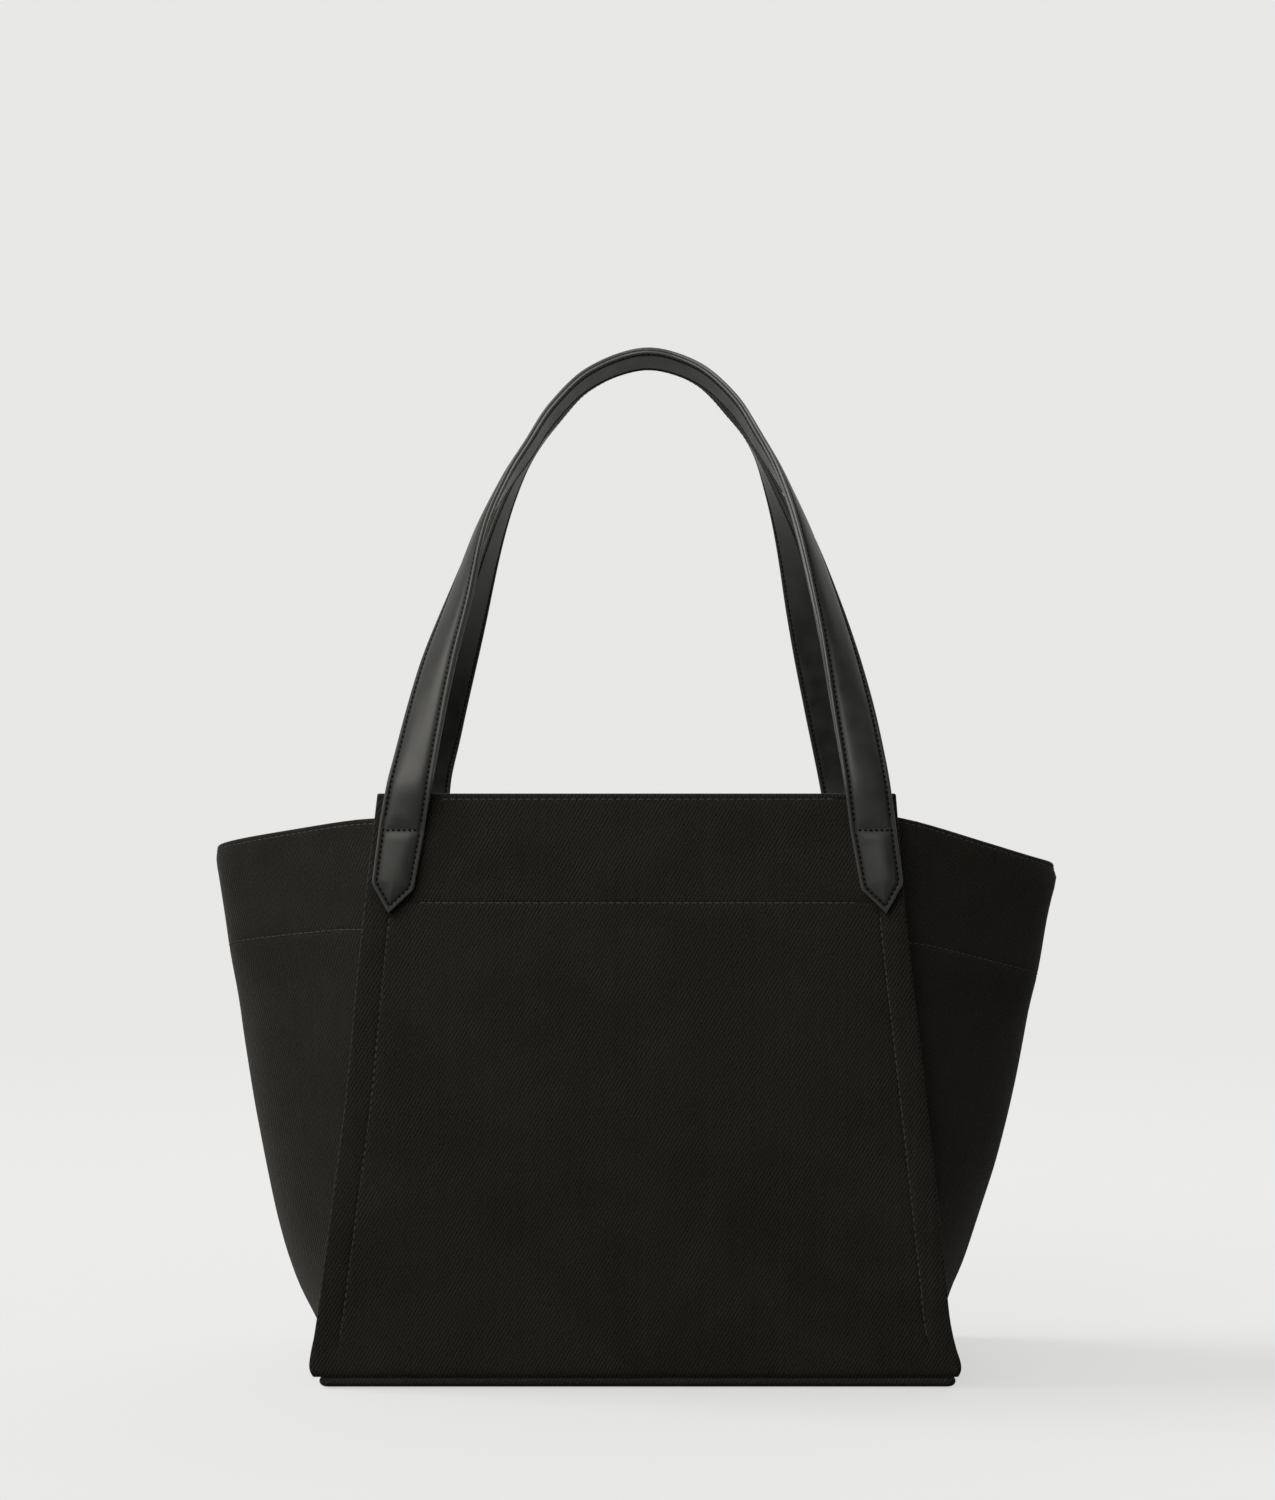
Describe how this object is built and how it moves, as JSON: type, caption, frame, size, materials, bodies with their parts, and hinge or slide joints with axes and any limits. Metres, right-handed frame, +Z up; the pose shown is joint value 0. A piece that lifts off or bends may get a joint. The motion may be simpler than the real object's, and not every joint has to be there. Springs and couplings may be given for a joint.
{
  "type": "winged tote bag",
  "caption": "Structured black twill tote bag with flat trapezoid panels, flared folded side wings, pinched edge flanges and two twisted leather shoulder handles on pointed tabs.",
  "frame": {"origin": "on the floor under the middle of the bag", "axes": "+X to the right seen from the front, +Y to the back (the front panel faces -Y), +Z up"},
  "size_m": [0.4694, 0.1762, 0.5617],
  "materials": {
    "black_twill": "matte diagonal twill weave",
    "black_lining": "plain smooth lining",
    "black_leather": "smooth, satin",
    "foam_filler": "soft felted filler",
    "stiffener_felt": "bonded felt",
    "band_webbing": "flat woven webbing",
    "base_board": "pressed board"
  },
  "bodies": {
    "bag_body": {"base_board": "base_board", "base_lining": "black_lining", "base_panel": "black_twill", "front_facing": "black_twill", "front_handle_band": "band_webbing", "front_left_tab": "black_leather", "front_left_tab_backing": "black_leather", "front_left_tab_filler": "foam_filler", "front_lining": "black_lining", "front_panel": "black_twill", "front_right_tab": "black_leather", "front_right_tab_backing": "black_leather", "front_right_tab_filler": "foam_filler", "front_stiffener": "stiffener_felt", "left_facing": "black_twill", "left_gusset": "black_twill", "left_lining": "black_lining", "rear_facing": "black_twill", "rear_handle_band": "band_webbing", "rear_left_tab": "black_leather", "rear_left_tab_backing": "black_leather", "rear_left_tab_filler": "foam_filler", "rear_lining": "black_lining", "rear_panel": "black_twill", "rear_right_tab": "black_leather", "rear_right_tab_backing": "black_leather", "rear_right_tab_filler": "foam_filler", "rear_stiffener": "stiffener_felt", "right_facing": "black_twill", "right_gusset": "black_twill", "right_lining": "black_lining"},
    "front_handle": {"front_strap_core": "foam_filler", "front_strap_leather": "black_leather", "front_strap_lining": "black_leather"},
    "rear_handle": {"rear_strap_core": "foam_filler", "rear_strap_leather": "black_leather", "rear_strap_lining": "black_leather"}
  },
  "joints": [
    {"name": "front_handle_fold", "type": "hinge", "parent": "bag_body", "child": "front_handle", "pos_m": [0, -0.0881, 0.297], "axis": [1, 0, 0], "range_deg": [0, 175]},
    {"name": "rear_handle_fold", "type": "hinge", "parent": "bag_body", "child": "rear_handle", "pos_m": [0, 0.0881, 0.297], "axis": [-1, 0, 0], "range_deg": [0, 175]}
  ]
}
